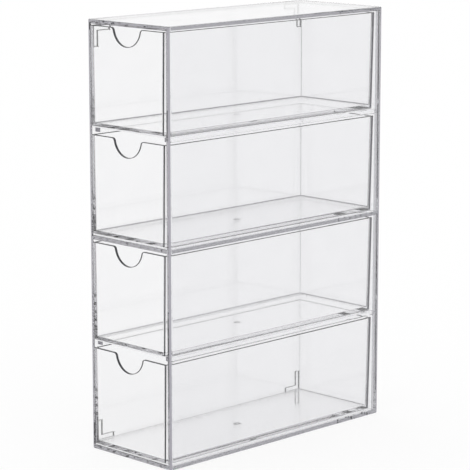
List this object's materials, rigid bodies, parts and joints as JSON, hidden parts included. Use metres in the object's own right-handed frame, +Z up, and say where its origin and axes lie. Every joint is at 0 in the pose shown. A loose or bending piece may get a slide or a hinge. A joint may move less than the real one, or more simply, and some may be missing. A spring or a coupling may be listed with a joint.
{
  "type": "eyeglasses organizer",
  "caption": "Tall narrow clear case with open-topped drawers one above another, each pulled out to the front by a half-round finger notch.",
  "frame": {"origin": "centre of the case's base, without the ribs on its left side", "axes": "+Z up, -Y to the front where the drawers come out, +X to the plain right side"},
  "size_m": [0.0685, 0.176, 0.25],
  "materials": {
    "clear_case": "clear polished acrylic",
    "clear_drawer": "clear moulded acrylic"
  },
  "bodies": {
    "case": {"bottom_panel": "clear_case", "back_panel": "clear_case", "left_panel": "clear_case", "right_panel": "clear_case", "mid_shelf": "clear_case", "lower_left_runner": "clear_case", "lower_right_runner": "clear_case", "upper_left_runner": "clear_case", "upper_right_runner": "clear_case", "top_panel": "clear_case"},
    "drawer_1": {"drawer_1": "clear_drawer"},
    "drawer_2": {"drawer_2": "clear_drawer"},
    "drawer_3": {"drawer_3": "clear_drawer"},
    "drawer_4": {"drawer_4": "clear_drawer"}
  },
  "joints": [
    {"name": "drawer_1_slide", "type": "slide", "parent": "case", "child": "drawer_1", "axis": [0, -1, 0], "range_m": [0, 0.15]},
    {"name": "drawer_2_slide", "type": "slide", "parent": "case", "child": "drawer_2", "axis": [0, -1, 0], "range_m": [0, 0.15]},
    {"name": "drawer_3_slide", "type": "slide", "parent": "case", "child": "drawer_3", "axis": [0, -1, 0], "range_m": [0, 0.15]},
    {"name": "drawer_4_slide", "type": "slide", "parent": "case", "child": "drawer_4", "axis": [0, -1, 0], "range_m": [0, 0.15]}
  ]
}
